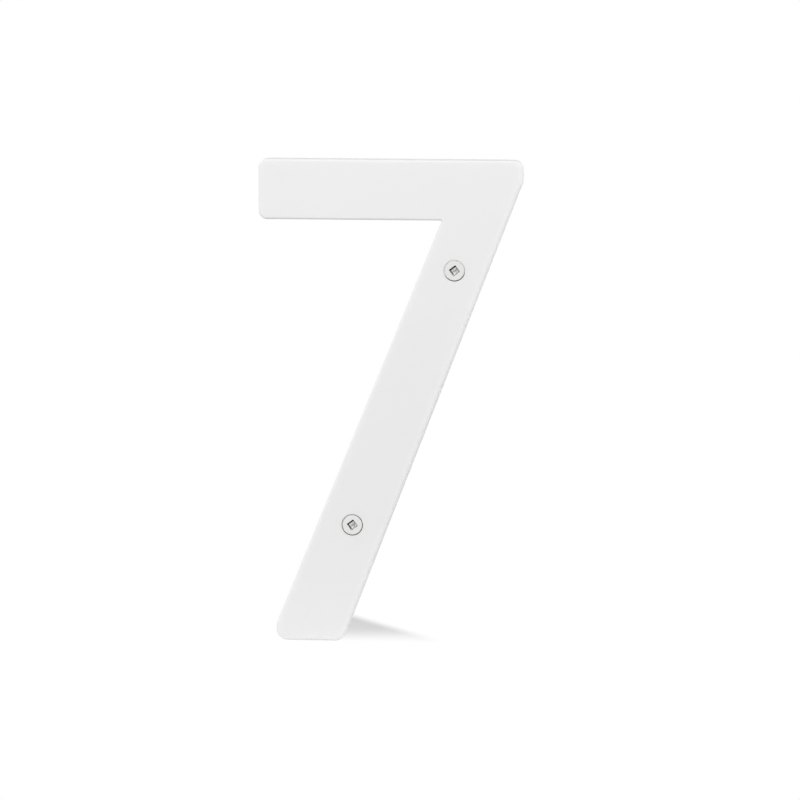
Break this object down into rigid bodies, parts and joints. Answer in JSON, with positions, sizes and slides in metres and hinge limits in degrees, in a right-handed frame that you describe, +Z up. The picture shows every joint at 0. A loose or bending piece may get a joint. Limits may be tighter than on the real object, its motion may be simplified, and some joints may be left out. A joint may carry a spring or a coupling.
{
  "type": "house number",
  "caption": "Flat white acrylic numeral seven with a slanted tapering leg and softened edges, held flat to a wall by countersunk square-drive screws.",
  "frame": {"origin": "on the wall face, midway between the two screw axes", "axes": "+X to the right and +Z up as the number is read, +Y into the wall"},
  "size_m": [0.0832, 0.0254, 0.1524],
  "materials": {
    "white_acrylic": "smooth white gloss",
    "screw_steel": "bright plain steel"
  },
  "bodies": {
    "root": {"number_plate": "white_acrylic", "mounting_screws": "screw_steel"}
  },
  "joints": []
}
